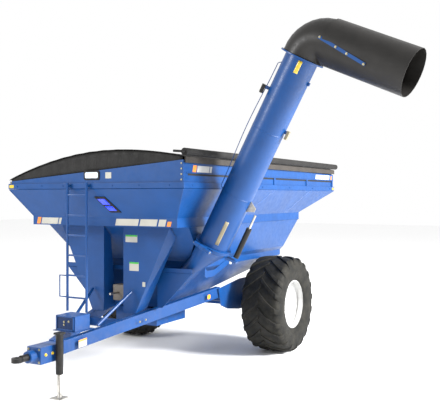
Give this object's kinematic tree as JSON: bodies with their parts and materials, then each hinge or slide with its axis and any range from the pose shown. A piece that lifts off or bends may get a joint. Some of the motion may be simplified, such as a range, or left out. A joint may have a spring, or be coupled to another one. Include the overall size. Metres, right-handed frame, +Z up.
{
  "type": "grain cart",
  "caption": "Two-wheel farm grain cart with a tapered hopper, arched roll tarp, drawbar with jack and ladder, and a folding corner auger ending in a curved spout.",
  "frame": {"origin": "on the ground, under the middle of the whole object's bounding box", "axes": "+X to the cart's left, where the auger is, +Y to its rear along the drawbar, +Z up"},
  "size_m": [7.0566, 7.963, 5.4646],
  "materials": {
    "blue_paint": "glossy royal blue enamel",
    "bright_steel": "bare bright steel",
    "black_steel": "satin black paint",
    "black_plastic": "satin black moulded plastic",
    "white_rim": "gloss white paint",
    "tyre_rubber": "dusty black rubber",
    "tarp": "matt coated cloth",
    "gearbox_casting": "grey painted casting",
    "lamp": "clear amber lens"
  },
  "bodies": {
    "cart": {"auger_boot": "blue_paint", "axle_beam": "blue_paint", "boot_flange": "blue_paint", "bulkhead_beam": "blue_paint", "bulkhead_pillar_left": "blue_paint", "bulkhead_pillar_right": "blue_paint", "cross_member": "blue_paint", "deck_box": "blue_paint", "drawbar_nose": "blue_paint", "drawbar_rail_left": "blue_paint", "drawbar_rail_right": "blue_paint", "fold_cylinder_mount": "blue_paint", "fold_hinge_pin": "bright_steel", "front_leg_left": "blue_paint", "front_leg_right": "blue_paint", "gate_cylinder": "black_steel", "gate_cylinder_bracket": "blue_paint", "gearbox": "gearbox_casting", "gearbox_mount": "blue_paint", "hopper_shell": "blue_paint", "hopper_top_wall": "blue_paint", "jack_tube": "black_steel", "ladder": "blue_paint", "lamp_arm": "blue_paint", "leg_brace_left": "blue_paint", "leg_brace_right": "blue_paint", "rim_rail": "blue_paint", "sump": "blue_paint", "tail_lamp": "lamp", "tarp_cover": "tarp", "tarp_frame": "black_steel", "tarp_hem_rail": "tarp", "undercarriage_left": "blue_paint", "undercarriage_right": "blue_paint"},
    "upper_auger": {"upper_auger_tube": "blue_paint", "spout_elbow": "black_plastic", "spout": "black_plastic", "fold_cylinder_clevis": "bright_steel"},
    "upper_screw": {"upper_auger_shaft": "bright_steel", "upper_flighting": "bright_steel"},
    "lower_screw": {"lower_auger_shaft": "bright_steel", "lower_flighting": "bright_steel"},
    "drive_input": {"input_shaft": "bright_steel"},
    "wheel_left": {"tyre_left": "tyre_rubber", "rim_left": "white_rim", "hub_left": "bright_steel"},
    "wheel_right": {"tyre_right": "tyre_rubber", "rim_right": "white_rim", "hub_right": "bright_steel"},
    "jack_slider": {"jack_leg": "bright_steel"},
    "cylinder_barrel": {"fold_cylinder_barrel": "black_steel"},
    "cylinder_rod": {"fold_cylinder_rod": "bright_steel"},
    "gate": {"flow_gate": "bright_steel"},
    "door": {"clean_out_door": "blue_paint"},
    "hitch_swivel": {"hitch": "black_steel"},
    "tarp_roll": {"tarp_roll_tube": "tarp"}
  },
  "joints": [
    {"name": "auger_fold", "type": "hinge", "parent": "cart", "child": "upper_auger", "pos_m": [0.1897, -1.725, 2.13596], "axis": [0.8713, 0.026, -0.4901], "range_deg": [0, 70]},
    {"name": "cylinder_pivot", "type": "hinge", "parent": "cart", "child": "cylinder_barrel", "pos_m": [0.49625, -1.21353, 1.93267], "axis": [0.8713, 0.026, -0.4901], "range_deg": [0, 54]},
    {"name": "cylinder_stroke", "type": "slide", "parent": "cylinder_barrel", "child": "cylinder_rod", "axis": [0.4902, -0.0941, 0.8665], "range_m": [0, 0.49]},
    {"name": "lower_screw_spin", "type": "hinge", "parent": "cart", "child": "lower_screw", "pos_m": [-1.4543, -0.6785, 0.9], "axis": [0.7543, -0.3152, 0.5758], "continuous": true},
    {"name": "upper_screw_spin", "type": "hinge", "parent": "upper_auger", "child": "upper_screw", "pos_m": [0.1897, -1.3655, 2.155], "axis": [0.4908, -0.0461, 0.8701], "continuous": true},
    {"name": "input_spin", "type": "hinge", "parent": "cart", "child": "drive_input", "pos_m": [-1.4943, -1.6191, 1.32], "axis": [0, 1, 0], "continuous": true},
    {"name": "wheel_left_spin", "type": "hinge", "parent": "cart", "child": "wheel_left", "pos_m": [0.1497, 1.1815, 0.9], "axis": [1, 0, 0], "continuous": true},
    {"name": "wheel_right_spin", "type": "hinge", "parent": "cart", "child": "wheel_right", "pos_m": [-3.1383, 1.1815, 0.9], "axis": [1, 0, 0], "continuous": true},
    {"name": "jack_lift", "type": "slide", "parent": "cart", "child": "jack_slider", "axis": [0, 0, 1], "range_m": [0, 0.3]},
    {"name": "gate_slide", "type": "slide", "parent": "cart", "child": "gate", "axis": [0, 1, 0], "range_m": [0, 0.4]},
    {"name": "door_hinge", "type": "hinge", "parent": "cart", "child": "door", "pos_m": [-1.7643, -0.7685, 0.736], "axis": [0, 1, 0], "range_deg": [0, 80]},
    {"name": "hitch_turn", "type": "hinge", "parent": "cart", "child": "hitch_swivel", "pos_m": [-1.4943, -3.7101, 0.655], "axis": [0, 1, 0], "range_deg": [-20, 20]},
    {"name": "tarp_roll_spin", "type": "hinge", "parent": "cart", "child": "tarp_roll", "pos_m": [0.2807, -2.3815, 3.575], "axis": [0, 1, 0], "continuous": true}
  ],
  "couplings": [
    {"joint": "cylinder_pivot", "follows": "auger_fold", "ratio": 0.749},
    {"joint": "cylinder_stroke", "follows": "auger_fold", "m_per_rad": 0.3929},
    {"joint": "upper_screw_spin", "follows": "lower_screw_spin", "ratio": 1},
    {"joint": "input_spin", "follows": "lower_screw_spin", "ratio": 1.35}
  ]
}
